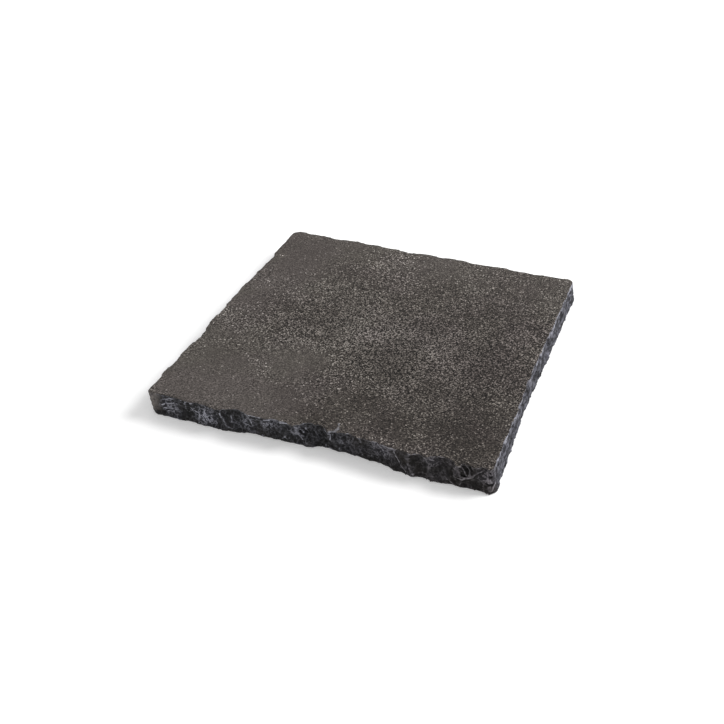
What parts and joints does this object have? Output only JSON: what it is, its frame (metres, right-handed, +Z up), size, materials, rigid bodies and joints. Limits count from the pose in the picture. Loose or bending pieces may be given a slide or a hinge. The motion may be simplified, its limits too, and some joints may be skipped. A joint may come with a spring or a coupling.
{
  "type": "natural stone paver",
  "caption": "Square natural stone paving slab with a flat textured face and irregular hand-pitched edges, laid as a garden or patio paver.",
  "frame": {"origin": "middle of the bed, the flat underside that the paver lies on", "axes": "+Z up through the thickness to the walking face; X and Y along the two pairs of sides, with the side that the picture shows in front facing -Y"},
  "size_m": [0.3078, 0.3094, 0.023],
  "materials": {
    "stone": "fine riven, matt"
  },
  "bodies": {
    "root": {"paver": "stone"}
  },
  "joints": []
}
